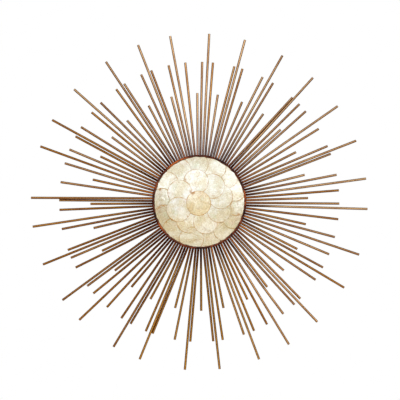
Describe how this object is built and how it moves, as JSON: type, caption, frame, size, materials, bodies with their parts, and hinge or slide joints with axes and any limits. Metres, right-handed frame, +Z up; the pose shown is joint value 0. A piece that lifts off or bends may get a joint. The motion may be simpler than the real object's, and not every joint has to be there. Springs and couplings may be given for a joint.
{
  "type": "sunburst wall sculpture",
  "caption": "Sunburst wall sculpture: round metal rays in three lengths round a dome faced with overlapping capiz shells, with a hinged hanging ring behind.",
  "frame": {"origin": "on the hub axis at the wall plane, in the middle of the flat floor of the back pan", "axes": "+Z up, +Y into the wall along the hub axis, so the shell-faced front looks along -Y; +X to the right seen from the front"},
  "size_m": [0.9132, 0.0564, 0.9119],
  "materials": {
    "ray_gold": "antique gold leaf over a red-brown ground, satin",
    "hoop_copper": "dark reddish copper, satin",
    "hub_steel": "dark bronze paint, satin",
    "pan_steel": "dark bronze paint, satin",
    "core_board": "turned fibreboard, sealed",
    "shell_outer": "pearly capiz shell, glossy",
    "shell_inner": "pearly capiz shell, glossy",
    "shell_centre": "amber-tinted capiz shell, glossy",
    "screw_steel": "zinc plated",
    "sleeve_steel": "plain drawn tube",
    "strap_steel": "zinc plated",
    "rivet_steel": "zinc plated",
    "ring_wire": "zinc plated wire"
  },
  "bodies": {
    "sunburst": {"back_pan": "pan_steel", "hub_ring": "hub_steel", "ray_fan_01": "ray_gold", "ray_fan_02": "ray_gold", "ray_fan_03": "ray_gold", "ray_fan_04": "ray_gold", "ray_fan_05": "ray_gold", "ray_fan_06": "ray_gold", "ray_fan_07": "ray_gold", "ray_fan_08": "ray_gold", "ray_fan_09": "ray_gold", "ray_fan_10": "ray_gold", "ray_fan_11": "ray_gold", "ray_fan_12": "ray_gold", "ray_fan_13": "ray_gold", "ray_fan_14": "ray_gold", "ray_fan_15": "ray_gold", "ray_fan_16": "ray_gold", "ray_fan_17": "ray_gold", "ray_fan_18": "ray_gold", "ray_fan_19": "ray_gold", "ray_fan_20": "ray_gold", "ray_fan_21": "ray_gold", "ray_fan_22": "ray_gold", "ray_fan_23": "ray_gold", "ray_fan_24": "ray_gold", "ray_fan_25": "ray_gold", "ray_fan_26": "ray_gold", "ray_fan_27": "ray_gold", "ray_fan_28": "ray_gold", "rim_hoop": "hoop_copper", "dome_core": "core_board", "shell_outer_01": "shell_outer", "shell_outer_02": "shell_outer", "shell_outer_03": "shell_outer", "shell_outer_04": "shell_outer", "shell_outer_05": "shell_outer", "shell_outer_06": "shell_outer", "shell_outer_07": "shell_outer", "shell_outer_08": "shell_outer", "shell_outer_09": "shell_outer", "shell_outer_10": "shell_outer", "shell_outer_11": "shell_outer", "shell_outer_12": "shell_outer", "shell_outer_13": "shell_outer", "shell_outer_14": "shell_outer", "shell_inner_01": "shell_inner", "shell_inner_02": "shell_inner", "shell_inner_03": "shell_inner", "shell_inner_04": "shell_inner", "shell_inner_05": "shell_inner", "shell_inner_06": "shell_inner", "shell_inner_07": "shell_inner", "shell_inner_08": "shell_inner", "shell_centre": "shell_centre", "core_screws": "screw_steel", "spacer_sleeves": "sleeve_steel", "hanger_strap": "strap_steel", "hanger_rivets": "rivet_steel"},
    "ring": {"hanger_ring": "ring_wire"}
  },
  "joints": [
    {"name": "ring_hinge", "type": "hinge", "parent": "sunburst", "child": "ring", "pos_m": [0, -0.00522, 0.11], "axis": [1, 0, 0], "range_deg": [0, 180]}
  ]
}
